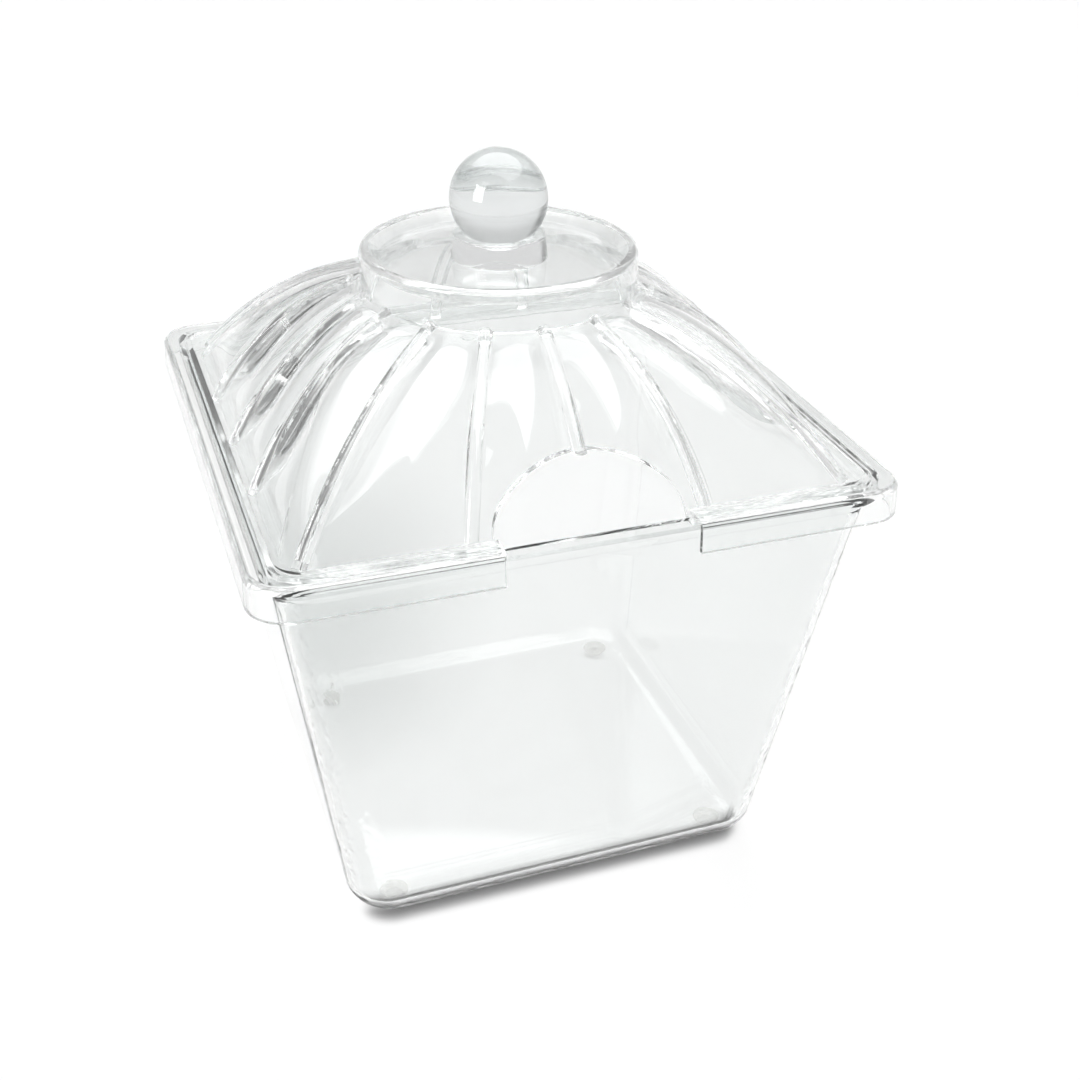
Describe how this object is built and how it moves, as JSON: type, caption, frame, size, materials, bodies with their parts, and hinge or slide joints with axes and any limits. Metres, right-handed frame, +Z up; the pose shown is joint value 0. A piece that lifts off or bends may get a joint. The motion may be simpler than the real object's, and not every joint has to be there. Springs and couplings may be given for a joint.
{
  "type": "storage jar",
  "caption": "Clear tapered square storage jar with small bumper feet and a lift-off lid with a ribbed square-to-round dome, a front scoop notch and a solid ball knob.",
  "frame": {"origin": "centre of the footprint, on the surface the feet stand on", "axes": "+Z up; -Y is the front, the side of the lid's scoop notch; +X to the right seen from the front"},
  "size_m": [0.2, 0.2, 0.2355],
  "materials": {
    "clear_acrylic": "gloss",
    "solid_clear_ball": "gloss",
    "clear_bumper": "satin"
  },
  "bodies": {
    "jar": {"bin": "clear_acrylic", "foot_front_left": "clear_bumper", "foot_front_right": "clear_bumper", "foot_back_left": "clear_bumper", "foot_back_right": "clear_bumper"},
    "lid": {"lid": "clear_acrylic", "knob_seat": "clear_acrylic", "knob_ball": "solid_clear_ball"}
  },
  "joints": [
    {"name": "lid_lift", "type": "slide", "parent": "jar", "child": "lid", "axis": [0, 0, 1], "range_m": [0, 0.15]}
  ]
}
